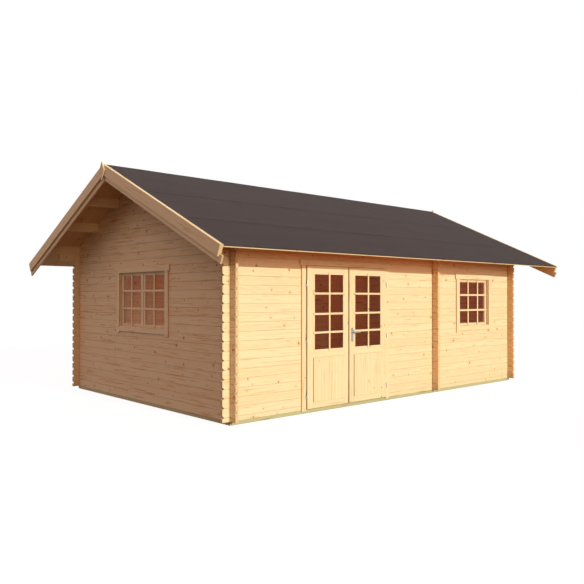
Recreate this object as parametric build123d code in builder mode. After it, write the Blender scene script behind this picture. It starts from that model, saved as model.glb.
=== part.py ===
from build123d import *
from math import cos, radians, sin, tan
import os

# Log cabin with two rooms, a double glazed door and a low gabled roof of boards and felt.
# Millimetres. +X runs along the front wall to the right, +Y into the cabin and +Z up.
# The origin is on the ground at the centre of the plan, and the front faces -Y.

# Walls: squared logs that lie edge on edge and cross at the corners.
wall_length = 6430  # front and back walls, over their outer faces
wall_depth = 4310  # gable walls, over their outer faces
log_height = 114
log_thickness = 44
log_edge_chamfer = 3  # two of these make the fine V at each joint
log_end_overrun = 111  # log ends past the crossing wall's outer face
log_end_chamfer = 28  # along the log, at its top and bottom edge
log_end_underside = 25  # height of the chamfer at the bottom edge
log_end_topside = 12  # and at the top edge
side_room_width = 2375  # right gable's outer face to the partition's left face
half_log = log_height / 2

# Ground bearers, and the floor boards on their inner ledge.
bearer_height = 45
bearer_width = 70
floor_thickness = 19
floor_gap = 6

# Roof.
roof_pitch = 24.7
eave_height = 2383  # ground to the boards' underside, at the walls' outer faces
eave_overhang = 632
gable_overhang = 557  # gable wall's outer face to the ends of the roof boards
roof_board_thickness = 19
felt_thickness = 3
eave_strip_thickness = 18  # strip nailed to the ends of the roof boards
eave_strip_height = 22
purlin_height = 145
purlin_spacings = (695, 1400)  # ridge line to each purlin's nearer face
lower_plate_overrun = 357  # the log under the wall plate, past the gable wall
lower_plate_radius = 60

# Verge: a barge board outside a lath, with a narrower board below the lath.
barge_thickness = 28
barge_height = 140
barge_rise = 26  # top edge above the roof boards' underside, square to the slope
verge_thickness = 20  # lath and lower board
lath_height = 110
lower_board_height = 95
lower_board_overrun = 51  # past the barge board, down the slope
ridge_diamond_width = 150  # board over the joint of the barge boards
ridge_diamond_height = 266
ridge_diamond_thickness = 20
ridge_diamond_rise = 37  # its tip above the barge boards' top edges

# Double door in the front wall, opening outwards.
door_from_left = 1239  # left gable's outer face to the casing's inner edge
door_clearance = 6
leaf_gap = 8  # between the two leaves
leaf_thickness = 40
leaf_projection = 38  # leaf's face in front of the wall's outer face
leaf_bottom = 60
leaf_top_rail = 81
leaf_middle_rail = 79
leaf_bottom_rail = 83
leaf_glazing_height = 1072
leaf_panel_height = 592
leaf_panel_thickness = 18
leaf_panel_rise = 14  # panel's boards in front of the leaf's face
leaf_glass_recess = 6
leaf_opening_width = 608
leaf_outer_stile = 107
left_meeting_stile = 76
right_meeting_stile = 105
cover_strip_width = 34
cover_strip_thickness = 15
door_frame_thickness = 52
threshold_thickness = 30
door_casing_width = 74
door_casing_top = 76
door_casing_bottom = 31  # above the ground
casing_cover = 12  # door casing past the sawn edge of the logs

# Hinges and lever handle of the door.
hinge_heights = (236, 980, 1731)
hinge_length = 84
hinge_radius = 7
hinge_pin_radius = 3
hinge_pin_length = 28
hinge_play = 0.3
hinge_offset = 5  # barrel axis outside the leaf's edge
hinge_plate_thickness = 4
hinge_plate_width = 26
handle_plate_width = 34
handle_plate_thickness = 6
handle_plate_bottom = 916
handle_plate_height = 200
lever_height = 1052
lever_radius = 9
lever_length = 118
lever_projection = 48  # lever's axis in front of its plate
spindle_radius = 5
spindle_play = 0.3

# Windows: one in the front wall, one with two sashes in the left gable.
front_window_from_right = 718  # right gable's outer face to the casing's inner edge
front_window_width = 902
gable_window_width = 1330
window_height = 804
window_bottom = 1050
window_casing_width = 88
window_casing_top = 86
window_casing_bottom = 76
window_casing_tail = 30  # side boards below the bottom board
casing_ear = 30  # top board past the side boards
casing_thickness = 20
window_frame_cover = 10  # the casing covers this much of the frame
window_frame_thickness = 20
window_frame_depth = 78
sash_recess = 25  # behind the wall's outer face
sash_thickness = 36
front_sash_stile = 56
gable_sash_stile = 62
sash_rail = 33
sash_glass_recess = 6
glass_thickness = 4

# Doorway through the partition.
inner_door_from_front = 1500  # front wall's outer face to the doorway
inner_door_width = 860
inner_door_height = 1960

# Places that follow from the sizes above.
half_length = wall_length / 2
half_depth = wall_depth / 2
wall_line = half_depth - log_thickness / 2  # middle of the front and back walls
gable_line = half_length - log_thickness / 2
partition_line = half_length - side_room_width + log_thickness / 2
slope = tan(radians(roof_pitch))
slope_sin = sin(radians(roof_pitch))
slope_cos = cos(radians(roof_pitch))
ridge_height = eave_height + half_depth * slope
slope_length = (half_depth + eave_overhang) / slope_cos
first_long_joint = bearer_height + half_log
first_cross_joint = bearer_height + log_height
plate_bottom = first_long_joint + log_height * ((eave_height - half_log - first_long_joint) // log_height)
roof_end = half_length + gable_overhang

door_left = door_from_left - half_length
leaf_height = (
    leaf_bottom_rail + leaf_panel_height + leaf_middle_rail + leaf_glazing_height + leaf_top_rail
)
leaf_top = leaf_bottom + leaf_height
left_leaf_left = door_left + door_clearance
left_leaf_right = left_leaf_left + leaf_outer_stile + leaf_opening_width + left_meeting_stile
right_leaf_left = left_leaf_right + leaf_gap
right_leaf_right = right_leaf_left + right_meeting_stile + leaf_opening_width + leaf_outer_stile
door_right = right_leaf_right + door_clearance
door_middle = (door_left + door_right) / 2
door_hole_left = door_left - casing_cover
door_hole_right = door_right + casing_cover
door_hole_top = leaf_top + door_clearance + casing_cover
leaf_face = -half_depth - leaf_projection
door_frame_front = leaf_face + leaf_thickness + door_clearance
door_frame_back = -half_depth + log_thickness + 14

os.makedirs("parts", exist_ok=True)


def save(piece, name):
    """Label a finished piece and write it as a STEP file of that name."""
    piece.part.label = name
    export_step(piece.part, f"parts/{name}.step")


def joints(first, stop):
    """Heights of the joints between logs, from the first one up to a height."""
    count = int((stop - first) / log_height + 0.01) + 1
    return [first + log_height * step for step in range(count)]


def log_stack(middle, seams):
    """Outline (across, up) of logs stacked between seams, each with its four edges chamfered."""
    half = log_thickness / 2
    edge = half - log_edge_chamfer
    face = []
    for low, high in zip(seams, seams[1:]):
        face += [(edge, low), (half, low + log_edge_chamfer), (half, high - log_edge_chamfer)]
    face.append((edge, seams[-1]))
    outline = face + [(-across, up) for across, up in reversed(face)]
    return [(middle + across, up) for across, up in outline]


def under_roof(side):
    """Plane of the roof boards' underside, on the front slope (side -1) or the back slope (1)."""
    return Plane(
        origin=(0, side * half_depth, eave_height),
        x_dir=(1, 0, 0),
        z_dir=(0, side * slope_sin, slope_cos),
    )


def on_slope(side, down, above):
    """Point (y, z) down a slope from the ridge, and above the boards' underside, square to it."""
    y = side * (down * slope_cos + above * slope_sin)
    return (y, ridge_height - down * slope_sin + above * slope_cos)


# Notch between two log ends, about the end of their joint: the chamfers of both logs.
log_end_notch = [
    (-log_end_chamfer, 0),
    (0, -log_end_topside),
    (log_end_chamfer, 0),
    (0, log_end_underside),
]


def long_wall(side):
    """Front (side -1) or back (1) wall, with its top two logs run out under the gable overhang."""
    line = side * wall_line
    log_end = half_length + log_end_overrun
    lower_end = half_length + lower_plate_overrun
    lower_bottom = plate_bottom - log_height
    with BuildPart() as wall:
        with BuildSketch(Plane.YZ.offset(-log_end)):
            with BuildLine():
                seams = [bearer_height, *joints(first_long_joint, lower_bottom)]
                Polyline(*log_stack(line, seams), close=True)
            make_face()
        extrude(amount=2 * log_end)
        with BuildSketch(Plane.XZ):
            ends = [(end, up) for end in (-log_end, log_end) for up in seams[1:]]
            with Locations(*ends):
                Polygon(*log_end_notch, align=None)
        extrude(amount=wall_depth, both=True, mode=Mode.SUBTRACT)
        with BuildSketch(Plane.YZ.offset(-lower_end)):
            with BuildLine():
                Polyline(*log_stack(line, [lower_bottom, plate_bottom]), close=True)
            make_face()
        extrude(amount=2 * lower_end)
        with BuildSketch(Plane.XZ):
            for turn in (-1, 1):
                corner = turn * (lower_end - lower_plate_radius / 2)
                with Locations((corner, lower_bottom + lower_plate_radius / 2)):
                    Rectangle(lower_plate_radius, lower_plate_radius)
                centre = turn * (lower_end - lower_plate_radius)
                with Locations((centre, lower_bottom + lower_plate_radius)):
                    Circle(lower_plate_radius, mode=Mode.SUBTRACT)
        extrude(amount=wall_depth, both=True, mode=Mode.SUBTRACT)
        with BuildSketch(Plane.YZ.offset(-roof_end)):
            with BuildLine():
                Polyline(*log_stack(line, [plate_bottom, plate_bottom + 2 * log_height]), close=True)
            make_face()
        extrude(amount=2 * roof_end)
        split(bisect_by=under_roof(side), keep=Keep.BOTTOM)
        crossings = (-gable_line, partition_line, gable_line)
        notches = joints(first_long_joint, eave_height + half_log)
        with Locations(*[(x, line, up) for x in crossings for up in notches]):
            Box(log_thickness, log_thickness, half_log, mode=Mode.SUBTRACT)
    return wall


def cross_wall(line):
    """Gable wall or partition up to the roof, notched over the long walls and round the purlins."""
    log_end = half_depth + log_end_overrun
    with BuildPart() as wall:
        with BuildSketch(Plane.XZ.offset(-log_end)):
            with BuildLine():
                seams = [bearer_height, *joints(first_cross_joint, ridge_height + log_height)]
                Polyline(*log_stack(line, seams), close=True)
            make_face()
        extrude(amount=2 * log_end)
        with BuildSketch(Plane.YZ):
            end_joints = joints(first_cross_joint, eave_height - half_log)
            with Locations(*[(end, up) for end in (-log_end, log_end) for up in end_joints]):
                Polygon(*log_end_notch, align=None)
        extrude(amount=wall_length, both=True, mode=Mode.SUBTRACT)
        split(bisect_by=under_roof(-1), keep=Keep.BOTTOM)
        split(bisect_by=under_roof(1), keep=Keep.BOTTOM)
        notches = joints(bearer_height, eave_height)
        with Locations(*[(line, y, up) for y in (-wall_line, wall_line) for up in notches]):
            Box(log_thickness, log_thickness, half_log, mode=Mode.SUBTRACT)
        add(purlins.part, mode=Mode.SUBTRACT)
    return wall


def beams(*outlines):
    """Pieces of the given YZ outlines that run the full length of the roof."""
    with BuildPart() as pieces:
        for outline in outlines:
            with BuildSketch(Plane.YZ.offset(-roof_end)):
                with BuildLine():
                    Polyline(*outline, close=True)
                make_face()
            extrude(amount=2 * roof_end)
    return pieces


def purlin_outline(side, distance):
    """Purlin section, its top edge bevelled to the slope."""
    outer = distance + log_thickness
    near = ridge_height - distance * slope
    far = ridge_height - outer * slope
    bottom = near - purlin_height
    return [(side * distance, near), (side * outer, far), (side * outer, bottom), (side * distance, bottom)]


def slope_sheet(side, low, high, end):
    """Outline of a layer on one slope between two heights, mitred at the ridge, square at the eave."""
    return [
        on_slope(side, -low * slope, low),
        on_slope(side, end, low),
        on_slope(side, end, high),
        on_slope(side, -high * slope, high),
    ]


def verge_pair(outline, start, thickness):
    """The same outline at both gables, its inner face at a distance from the plan's centre."""
    with BuildPart() as pieces:
        for plane in (Plane.YZ.offset(start), Plane.YZ.offset(-start - thickness)):
            with BuildSketch(plane):
                with BuildLine():
                    Polyline(*outline, close=True)
                make_face()
            extrude(amount=thickness)
    return pieces


def plumb_board(side, top, height, lower):
    """Outline of a verge board that stops at a plumb cut on the ridge line."""
    return [
        on_slope(side, -top * slope, top),
        on_slope(side, lower, top),
        on_slope(side, lower, top - height),
        on_slope(side, (height - top) * slope, top - height),
    ]


# Ground bearers: two long ones with three short ones between them.
with BuildPart() as long_bearers:
    bearer_line = half_depth - bearer_width / 2
    with Locations((0, -bearer_line, bearer_height / 2), (0, bearer_line, bearer_height / 2)):
        Box(wall_length, bearer_width, bearer_height)
save(long_bearers, "long_bearers")

with BuildPart() as cross_bearers:
    bearer_end = half_length - bearer_width / 2
    with Locations(*[(x, 0, bearer_height / 2) for x in (-bearer_end, partition_line, bearer_end)]):
        Box(bearer_width, wall_depth - 2 * bearer_width, bearer_height)
save(cross_bearers, "cross_bearers")

# Floor of each room, a sheet on the bearers' inner ledge, clear of the walls and the door frame.
with BuildPart() as floor:
    room_edges = (
        (-half_length + log_thickness, partition_line - log_thickness / 2),
        (partition_line + log_thickness / 2, half_length - log_thickness),
    )
    for left, right in room_edges:
        with Locations(((left + right) / 2, 0, bearer_height + floor_thickness / 2)):
            Box(
                right - left - 2 * floor_gap,
                wall_depth - 2 * log_thickness - 2 * floor_gap,
                floor_thickness,
            )
    with Locations((door_hole_left - floor_gap, -half_depth, bearer_height)):
        Box(
            door_hole_right - door_hole_left + 2 * floor_gap,
            door_frame_back + floor_gap + half_depth,
            floor_thickness,
            align=(Align.MIN, Align.MIN, Align.MIN),
            mode=Mode.SUBTRACT,
        )
save(floor, "floor")

# Purlins that carry the roof boards and run out to both verges.
half_purlin = log_thickness / 2
ridge_shoulder = ridge_height - half_purlin * slope
ridge_purlin_bottom = ridge_shoulder - purlin_height
ridge_purlin_outline = [
    (0, ridge_height),
    (half_purlin, ridge_shoulder),
    (half_purlin, ridge_purlin_bottom),
    (-half_purlin, ridge_purlin_bottom),
    (-half_purlin, ridge_shoulder),
]
slope_purlins = [purlin_outline(side, distance) for side in (-1, 1) for distance in purlin_spacings]
purlins = beams(ridge_purlin_outline, *slope_purlins)
save(purlins, "purlins")

# Front wall in three pieces: left of the door, over it, and right of it with the window hole.
front_hole_right = half_length - front_window_from_right + window_frame_cover
front_hole_width = front_window_width + 2 * window_frame_cover
hole_height = window_height + 2 * window_frame_cover
with BuildPart() as front_wall:
    add(long_wall(-1).part)
    with Locations(((door_hole_left + door_hole_right) / 2, -wall_line, 0)):
        Box(
            door_hole_right - door_hole_left,
            3 * log_thickness,
            door_hole_top,
            align=(Align.CENTER, Align.CENTER, Align.MIN),
            mode=Mode.SUBTRACT,
        )
    with Locations((front_hole_right, -wall_line, window_bottom - window_frame_cover)):
        Box(
            front_hole_width,
            3 * log_thickness,
            hole_height,
            align=(Align.MAX, Align.CENTER, Align.MIN),
            mode=Mode.SUBTRACT,
        )

with BuildPart() as front_wall_left:
    add(front_wall.part)
    split(bisect_by=Plane.YZ.offset(door_hole_left), keep=Keep.BOTTOM)
save(front_wall_left, "front_wall_left")

with BuildPart() as front_wall_over_door:
    add(front_wall.part)
    split(bisect_by=Plane.YZ.offset(door_hole_left), keep=Keep.TOP)
    split(bisect_by=Plane.YZ.offset(door_hole_right), keep=Keep.BOTTOM)
save(front_wall_over_door, "front_wall_over_door")

with BuildPart() as front_wall_right:
    add(front_wall.part)
    split(bisect_by=Plane.YZ.offset(door_hole_right), keep=Keep.TOP)
save(front_wall_right, "front_wall_right")

back_wall = long_wall(1)
save(back_wall, "back_wall")

# Gable walls; the left one has the wide window, half a log higher than the front window.
gable_window_bottom = window_bottom + half_log
with BuildPart() as left_gable_wall:
    add(cross_wall(-gable_line).part)
    with Locations((-gable_line, 0, gable_window_bottom - window_frame_cover)):
        Box(
            3 * log_thickness,
            gable_window_width + 2 * window_frame_cover,
            hole_height,
            align=(Align.CENTER, Align.CENTER, Align.MIN),
            mode=Mode.SUBTRACT,
        )
save(left_gable_wall, "left_gable_wall")

right_gable_wall = cross_wall(gable_line)
save(right_gable_wall, "right_gable_wall")

# Partition between the rooms, in three pieces round its open doorway.
inner_door_near = -half_depth + inner_door_from_front
inner_door_far = inner_door_near + inner_door_width
with BuildPart() as partition:
    add(cross_wall(partition_line).part)
    with Locations((partition_line, (inner_door_near + inner_door_far) / 2, 0)):
        Box(
            3 * log_thickness,
            inner_door_width,
            bearer_height + floor_thickness + inner_door_height,
            align=(Align.CENTER, Align.CENTER, Align.MIN),
            mode=Mode.SUBTRACT,
        )

with BuildPart() as partition_front:
    add(partition.part)
    split(bisect_by=Plane.XZ.offset(-inner_door_near), keep=Keep.TOP)
save(partition_front, "partition_front")

with BuildPart() as partition_over_doorway:
    add(partition.part)
    split(bisect_by=Plane.XZ.offset(-inner_door_near), keep=Keep.BOTTOM)
    split(bisect_by=Plane.XZ.offset(-inner_door_far), keep=Keep.TOP)
save(partition_over_doorway, "partition_over_doorway")

with BuildPart() as partition_back:
    add(partition.part)
    split(bisect_by=Plane.XZ.offset(-inner_door_far), keep=Keep.BOTTOM)
save(partition_back, "partition_back")

# Roof boards and felt, one sheet of each to a slope, and a strip on the boards' ends at each eave.
felt_top = roof_board_thickness + felt_thickness
board_end = slope_length - eave_strip_thickness
for side, slope_name in ((-1, "front"), (1, "back")):
    save(beams(slope_sheet(side, 0, roof_board_thickness, board_end)), f"{slope_name}_roof_boards")
    save(beams(slope_sheet(side, roof_board_thickness, felt_top, slope_length)), f"{slope_name}_roof_felt")


def eave_strip_outline(side):
    """Section of the eave strip, under the felt's edge."""
    low = roof_board_thickness - eave_strip_height
    return [
        on_slope(side, board_end, roof_board_thickness),
        on_slope(side, slope_length, roof_board_thickness),
        on_slope(side, slope_length, low),
        on_slope(side, board_end, low),
    ]


save(beams(eave_strip_outline(-1), eave_strip_outline(1)), "eave_strips")

# Verge laths on the ends of the roof boards.
for side, slope_name in ((-1, "front"), (1, "back")):
    lath_outline = plumb_board(side, barge_rise, lath_height, slope_length)
    save(verge_pair(lath_outline, roof_end, verge_thickness), f"{slope_name}_verge_laths")

# Lower verge boards on the purlin ends, mitred at the ridge and longer than the barge boards.
lower_top = barge_rise - lath_height
lower_end = slope_length + lower_board_overrun
for side, slope_name in ((-1, "front"), (1, "back")):
    lower_outline = plumb_board(side, lower_top, lower_board_height, lower_end)
    save(verge_pair(lower_outline, roof_end, verge_thickness), f"{slope_name}_lower_verge_boards")

# Barge boards, cut plumb where they meet at the ridge.
barge_start = roof_end + verge_thickness
for side, slope_name in ((-1, "front"), (1, "back")):
    barge_outline = plumb_board(side, barge_rise, barge_height, slope_length)
    save(verge_pair(barge_outline, barge_start, barge_thickness), f"{slope_name}_barge_boards")

# Diamond-shaped board at each gable, over the joint of the barge boards.
diamond_top = ridge_height + barge_rise / slope_cos + ridge_diamond_rise
diamond_middle = diamond_top - ridge_diamond_height / 2
diamond_outline = [
    (0, diamond_top),
    (ridge_diamond_width / 2, diamond_middle),
    (0, diamond_top - ridge_diamond_height),
    (-ridge_diamond_width / 2, diamond_middle),
]
diamond_start = barge_start + barge_thickness
save(verge_pair(diamond_outline, diamond_start, ridge_diamond_thickness), "ridge_diamonds")

# Door frame: four boards in the wall's opening; the leaves close in front of it.
frame_depth = door_frame_back - door_frame_front
with BuildPart() as door_frame:
    hole_middle = (door_hole_left + door_hole_right) / 2
    with Locations((hole_middle, door_frame_front, bearer_height)):
        Box(
            door_hole_right - door_hole_left,
            frame_depth,
            door_hole_top - bearer_height,
            align=(Align.CENTER, Align.MIN, Align.MIN),
        )
    with Locations((hole_middle, door_frame_front, bearer_height + threshold_thickness)):
        Box(
            door_hole_right - door_hole_left - 2 * door_frame_thickness,
            frame_depth,
            door_hole_top - door_frame_thickness - bearer_height - threshold_thickness,
            align=(Align.CENTER, Align.MIN, Align.MIN),
            mode=Mode.SUBTRACT,
        )
save(door_frame, "door_frame")

# Door casing: two side boards and a top board with ears, flat on the logs.
casing_top_edge = leaf_top + door_clearance
casing_height = casing_top_edge - door_casing_bottom
outer_width = door_right - door_left + 2 * door_casing_width
casing_back = Plane.XZ.offset(half_depth)
with BuildPart() as door_casing:
    with BuildSketch(casing_back):
        with Locations((door_left, door_casing_bottom)):
            Rectangle(door_casing_width, casing_height, align=(Align.MAX, Align.MIN))
        with Locations((door_right, door_casing_bottom)):
            Rectangle(door_casing_width, casing_height, align=(Align.MIN, Align.MIN))
        with Locations((door_middle, casing_top_edge)):
            Rectangle(outer_width + 2 * casing_ear, door_casing_top, align=(Align.CENTER, Align.MIN))
    extrude(amount=casing_thickness)
save(door_casing, "door_casing")


def door_leaf(left, right, opening_left):
    """Framed door leaf with a glazed opening over a board panel that stands out of its face."""
    panel_bottom = leaf_bottom + leaf_bottom_rail
    glazing_bottom = panel_bottom + leaf_panel_height + leaf_middle_rail
    back_recess = leaf_thickness + leaf_panel_rise - leaf_panel_thickness
    corner = (Align.MIN, Align.MIN, Align.MIN)
    with BuildPart() as leaf:
        with Locations((left, leaf_face, leaf_bottom)):
            Box(right - left, leaf_thickness, leaf_height, align=corner)
        with Locations((opening_left, leaf_face, glazing_bottom)):
            Box(leaf_opening_width, leaf_thickness, leaf_glazing_height, align=corner, mode=Mode.SUBTRACT)
        with Locations((opening_left, leaf_face, panel_bottom)):
            Box(
                leaf_opening_width,
                leaf_panel_rise,
                leaf_panel_height,
                align=(Align.MIN, Align.MAX, Align.MIN),
            )
        with Locations((opening_left, leaf_face + leaf_thickness - back_recess, panel_bottom)):
            Box(leaf_opening_width, back_recess, leaf_panel_height, align=corner, mode=Mode.SUBTRACT)
    return leaf


def door_glass(opening_left):
    """Pane that fills a leaf's glazed opening, near its face."""
    glazing_bottom = leaf_bottom + leaf_bottom_rail + leaf_panel_height + leaf_middle_rail
    with BuildPart() as glass:
        with Locations((opening_left, leaf_face + leaf_glass_recess, glazing_bottom)):
            Box(
                leaf_opening_width,
                glass_thickness,
                leaf_glazing_height,
                align=(Align.MIN, Align.MIN, Align.MIN),
            )
    return glass


left_opening = left_leaf_left + leaf_outer_stile
right_opening = right_leaf_left + right_meeting_stile
save(door_leaf(left_leaf_left, left_leaf_right, left_opening), "left_door_leaf")
save(door_glass(left_opening), "left_door_glass")
save(door_glass(right_opening), "right_door_glass")

# Lever handle of the right leaf: its axis is in the middle of what the cover strip leaves bare.
lever_axis = (right_leaf_left + cover_strip_width + right_opening) / 2
spindle_plane = Plane.XZ.offset(-leaf_face - leaf_thickness / 2)
with BuildPart() as right_door_leaf:
    add(door_leaf(right_leaf_left, right_leaf_right, right_opening).part)
    with BuildSketch(spindle_plane):
        with Locations((lever_axis, lever_height)):
            Circle(spindle_radius + spindle_play)
    extrude(amount=leaf_thickness, both=True, mode=Mode.SUBTRACT)
save(right_door_leaf, "right_door_leaf")

# Cover strip along the right leaf's meeting edge.
with BuildPart() as door_cover_strip:
    with Locations((right_leaf_left, leaf_face, leaf_bottom)):
        Box(
            cover_strip_width,
            cover_strip_thickness,
            leaf_height,
            align=(Align.MIN, Align.MAX, Align.MIN),
        )
save(door_cover_strip, "door_cover_strip")

# Handle plates on both faces of the right leaf, round-ended, with a bore for the spindle.
half_leaf = leaf_thickness / 2
plate_middle = handle_plate_bottom + handle_plate_height / 2
with BuildPart() as handle_plates:
    with BuildSketch(spindle_plane):
        with Locations((lever_axis, plate_middle)):
            SlotOverall(handle_plate_height, handle_plate_width, rotation=90)
        with Locations((lever_axis, lever_height)):
            Circle(spindle_radius + spindle_play, mode=Mode.SUBTRACT)
    extrude(amount=half_leaf + handle_plate_thickness, both=True)
    with Locations((lever_axis, leaf_face + half_leaf, plate_middle)):
        Box(2 * handle_plate_width, leaf_thickness, 2 * handle_plate_height, mode=Mode.SUBTRACT)
save(handle_plates, "handle_plates")

# One lever with a grip on each side and the spindle through the leaf.
lever_reach = half_leaf + handle_plate_thickness + lever_projection
with BuildPart() as door_lever:
    with BuildSketch(spindle_plane):
        with Locations((lever_axis, lever_height)):
            Circle(spindle_radius)
    extrude(amount=lever_reach, both=True)
    for facing in (-1, 1):
        grip_y = leaf_face + half_leaf + facing * lever_reach
        with BuildSketch(Plane.YZ.offset(lever_axis - lever_radius)):
            with Locations((grip_y, lever_height)):
                Circle(lever_radius)
        extrude(amount=lever_length + lever_radius)
save(door_lever, "door_lever")


# Lift-off hinges. The lower half is on the casing and carries the pin.
def hinge_axis(turn):
    """Plan position of a leaf's hinge axis: outside its edge and in front of its face."""
    edge = left_leaf_left if turn < 0 else right_leaf_right
    return (edge + turn * hinge_offset, leaf_face - hinge_radius - 1)


def frame_hinge_halves():
    """Lower halves of all the hinges: barrel, pin and a bracket back to the casing's face."""
    casing_face = -half_depth - casing_thickness
    with BuildPart() as halves:
        for turn in (-1, 1):
            x, y = hinge_axis(turn)
            flat = Align.MAX if turn < 0 else Align.MIN
            for middle in hinge_heights:
                bottom = middle - hinge_length / 2
                with Locations((x, y, bottom)):
                    Cylinder(hinge_radius, hinge_length / 2, align=(Align.CENTER, Align.CENTER, Align.MIN))
                    Cylinder(
                        hinge_pin_radius,
                        hinge_length / 2 + hinge_pin_length,
                        align=(Align.CENTER, Align.CENTER, Align.MIN),
                    )
                    Box(
                        hinge_radius,
                        casing_face - y,
                        hinge_length / 2,
                        align=(flat, Align.MIN, Align.MIN),
                    )
                with Locations((x, casing_face, bottom)):
                    Box(
                        hinge_plate_width,
                        hinge_plate_thickness,
                        hinge_length / 2,
                        align=(flat, Align.MAX, Align.MIN),
                    )
    return halves


def leaf_hinge_halves(turn):
    """Upper halves of one leaf's hinges: barrel with its bore and a plate on the leaf's face."""
    x, y = hinge_axis(turn)
    flat = Align.MIN if turn < 0 else Align.MAX
    with BuildPart() as halves:
        for middle in hinge_heights:
            with Locations((x, y, middle + hinge_play)):
                Cylinder(
                    hinge_radius,
                    hinge_length / 2 - hinge_play,
                    align=(Align.CENTER, Align.CENTER, Align.MIN),
                )
            with Locations((x, leaf_face, middle + hinge_play)):
                Box(
                    hinge_plate_width,
                    hinge_plate_thickness,
                    hinge_length / 2 - hinge_play,
                    align=(flat, Align.MAX, Align.MIN),
                )
            with Locations((x, y, middle)):
                Cylinder(
                    hinge_pin_radius + hinge_play,
                    hinge_pin_length + hinge_play,
                    align=(Align.CENTER, Align.CENTER, Align.MIN),
                    mode=Mode.SUBTRACT,
                )
    return halves


save(frame_hinge_halves(), "frame_hinge_halves")
save(leaf_hinge_halves(-1), "left_door_hinge_halves")
save(leaf_hinge_halves(1), "right_door_hinge_halves")


# Windows. Each is drawn on its wall's outer face, x across and y up, facing outwards.
def window_casing(face, middle, width, bottom):
    """Casing boards round a window: sides with tails, bottom between them, top with ears."""
    outer = width + 2 * window_casing_width
    side_bottom = bottom - window_casing_bottom - window_casing_tail
    with BuildPart() as casing:
        with BuildSketch(face):
            with Locations((middle, side_bottom)):
                Rectangle(outer, bottom + window_height - side_bottom, align=(Align.CENTER, Align.MIN))
            with Locations((middle, side_bottom)):
                Rectangle(width, window_casing_tail, align=(Align.CENTER, Align.MIN), mode=Mode.SUBTRACT)
            with Locations((middle, bottom)):
                Rectangle(width, window_height, align=(Align.CENTER, Align.MIN), mode=Mode.SUBTRACT)
            with Locations((middle, bottom + window_height)):
                Rectangle(outer + 2 * casing_ear, window_casing_top, align=(Align.CENTER, Align.MIN))
        extrude(amount=casing_thickness)
    return casing


def window_frame(face, middle, width, bottom):
    """Fixed frame in the wall's window hole."""
    sight = window_frame_cover - window_frame_thickness
    with BuildPart() as frame:
        with BuildSketch(face):
            with Locations((middle, bottom + window_height / 2)):
                Rectangle(width + 2 * window_frame_cover, hole_height)
                Rectangle(width + 2 * sight, window_height + 2 * sight, mode=Mode.SUBTRACT)
        extrude(amount=-window_frame_depth)
    return frame


def sash_places(middle, width, count):
    """Middles and common width of the sashes that fill a frame."""
    clear = width - 2 * (window_frame_thickness - window_frame_cover)
    sash = clear / count
    return [middle - clear / 2 + sash * (step + 0.5) for step in range(count)], sash


sash_height = window_height - 2 * (window_frame_thickness - window_frame_cover)


def window_sashes(face, middle, width, bottom, count, stile):
    """Sashes of a window, set back in its frame."""
    places, sash = sash_places(middle, width, count)
    with BuildPart() as sashes:
        with BuildSketch(face.offset(-sash_recess)):
            with Locations((middle, bottom + window_height / 2)):
                Rectangle(sash * count, sash_height)
            with Locations(*[(place, bottom + window_height / 2) for place in places]):
                Rectangle(sash - 2 * stile, sash_height - 2 * sash_rail, mode=Mode.SUBTRACT)
        extrude(amount=-sash_thickness)
    return sashes


def window_glass(face, middle, width, bottom, count, stile):
    """Panes near the sashes' outer face."""
    places, sash = sash_places(middle, width, count)
    with BuildPart() as glass:
        with BuildSketch(face.offset(-sash_recess - sash_glass_recess)):
            with Locations(*[(place, bottom + window_height / 2) for place in places]):
                Rectangle(sash - 2 * stile, sash_height - 2 * sash_rail)
        extrude(amount=-glass_thickness)
    return glass


front_face = Plane.XZ.offset(half_depth)
front_window_middle = half_length - front_window_from_right - front_window_width / 2
gable_face = Plane(origin=(-half_length, 0, 0), x_dir=(0, -1, 0), z_dir=(-1, 0, 0))
windows = (
    ("front", front_face, front_window_middle, front_window_width, window_bottom, 1, front_sash_stile),
    ("gable", gable_face, 0, gable_window_width, gable_window_bottom, 2, gable_sash_stile),
)
for window, face, middle, width, bottom, count, stile in windows:
    save(window_casing(face, middle, width, bottom), f"{window}_window_casing")
    save(window_frame(face, middle, width, bottom), f"{window}_window_frame")
    save(window_sashes(face, middle, width, bottom, count, stile), f"{window}_window_sash")
    save(window_glass(face, middle, width, bottom, count, stile), f"{window}_window_glass")
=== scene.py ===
import math
import bpy
import numpy as np
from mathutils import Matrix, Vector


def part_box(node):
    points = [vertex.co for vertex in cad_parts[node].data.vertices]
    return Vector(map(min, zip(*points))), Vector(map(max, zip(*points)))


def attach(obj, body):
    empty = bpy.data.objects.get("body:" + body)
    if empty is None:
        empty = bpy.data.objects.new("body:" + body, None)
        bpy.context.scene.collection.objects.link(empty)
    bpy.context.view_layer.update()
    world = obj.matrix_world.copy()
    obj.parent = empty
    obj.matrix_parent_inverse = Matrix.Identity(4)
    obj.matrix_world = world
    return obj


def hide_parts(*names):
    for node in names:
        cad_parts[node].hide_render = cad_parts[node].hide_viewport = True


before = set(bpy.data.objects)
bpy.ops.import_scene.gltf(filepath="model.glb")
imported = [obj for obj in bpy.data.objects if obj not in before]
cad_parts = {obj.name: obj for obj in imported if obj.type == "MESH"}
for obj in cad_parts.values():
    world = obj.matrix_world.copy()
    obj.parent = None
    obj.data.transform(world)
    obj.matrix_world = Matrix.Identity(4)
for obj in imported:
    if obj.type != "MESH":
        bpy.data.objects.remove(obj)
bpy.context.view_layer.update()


# ---------------------------------------------------------------------------
# Ground bearers. Squared softwood laid flat under the walls, pressure treated, which leaves the
# wood grey green. They are the cabin's only footing, and the walls stand on them.

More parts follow.
